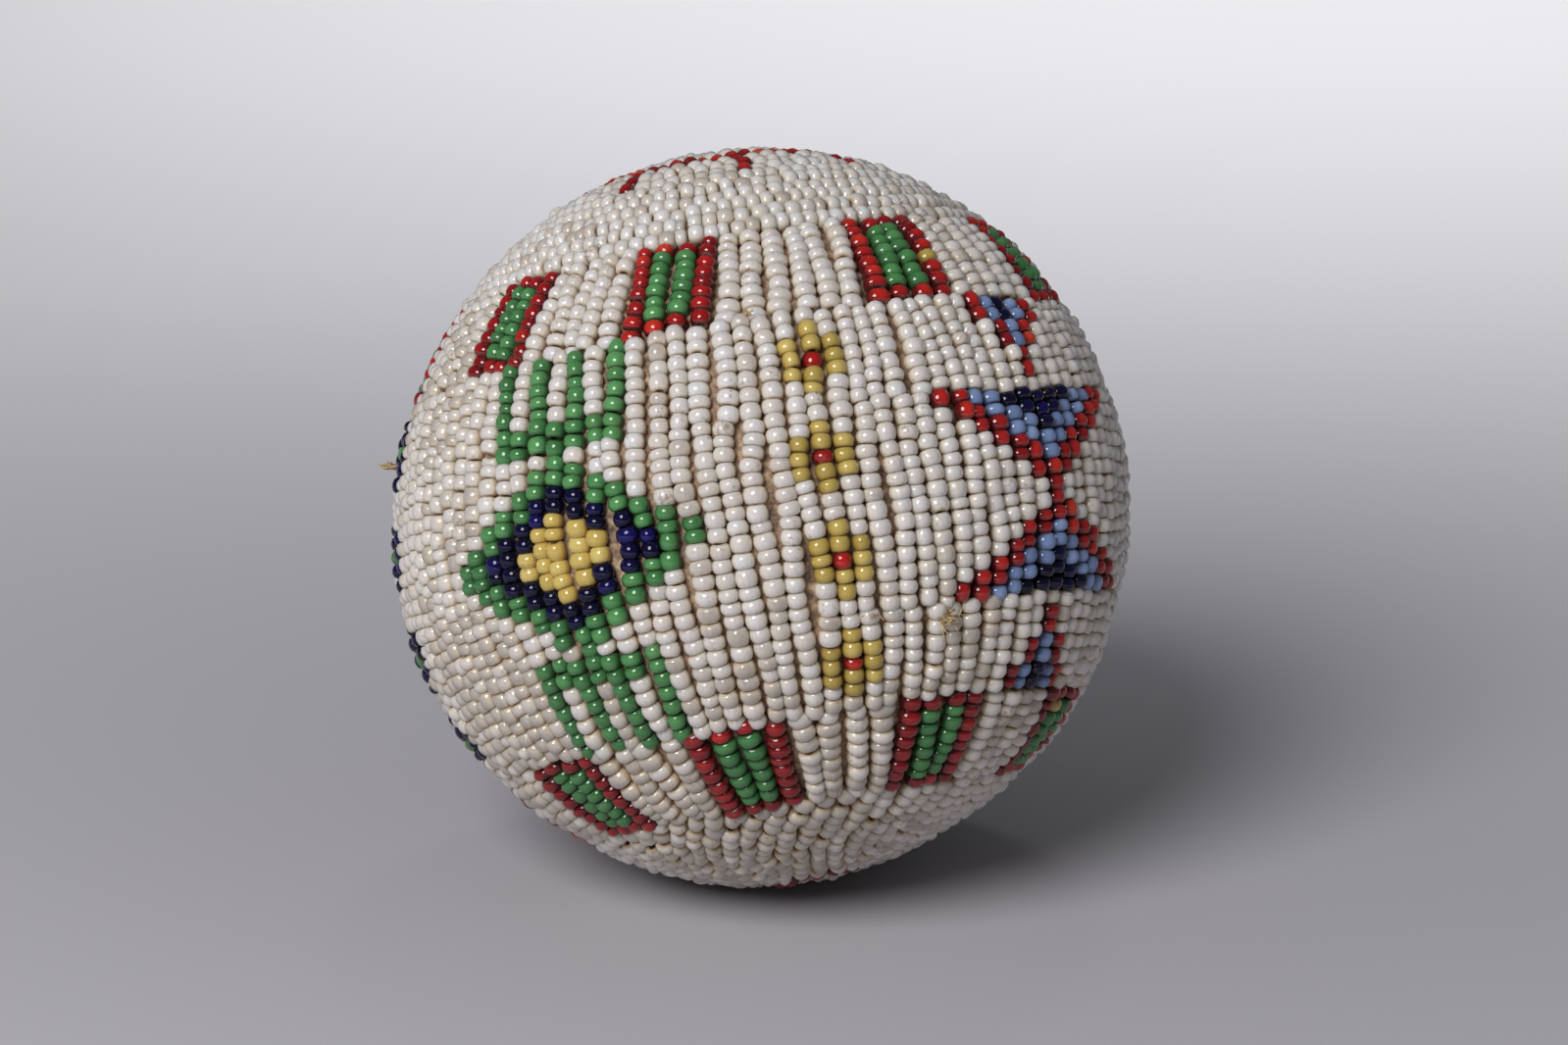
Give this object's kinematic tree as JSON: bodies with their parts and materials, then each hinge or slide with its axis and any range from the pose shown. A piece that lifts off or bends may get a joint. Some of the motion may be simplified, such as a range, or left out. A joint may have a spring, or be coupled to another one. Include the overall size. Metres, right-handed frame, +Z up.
{
  "type": "beaded ball",
  "caption": "Stuffed hide ball sewn all over with lanes of glass seed beads in a traditional geometric pattern, resting on a small flat spot.",
  "frame": {"origin": "centre of the small flat spot that the ball rests on", "axes": "+Z up, +X to the right as seen from the front, +Y away from the viewer. The poles of the beadwork are tilted: the upper one leans 8.9 degrees to -X and 20.3 degrees to +Y."},
  "size_m": [0.0758, 0.0755, 0.0756],
  "materials": {
    "hide": "napped tan buckskin, greyed with handling",
    "white_beads": "opaque warm white glass, glossy, a little soiled",
    "red_beads": "clear red glass over a white core, glossy",
    "green_beads": "opaque mid green glass, glossy",
    "yellow_beads": "opaque greasy yellow glass, glossy",
    "navy_beads": "very dark clear navy glass, glossy",
    "blue_beads": "opaque light periwinkle glass, glossy",
    "thread": "waxed sinew-coloured sewing thread"
  },
  "bodies": {
    "root": {"hide_ball": "hide", "north_cap": "white_beads", "upper_box_lane": "red_beads", "lane_1": "white_beads", "lane_2": "white_beads", "lane_3": "white_beads", "lane_4": "white_beads", "lower_box_lane": "red_beads", "south_cap": "white_beads"}
  },
  "joints": []
}
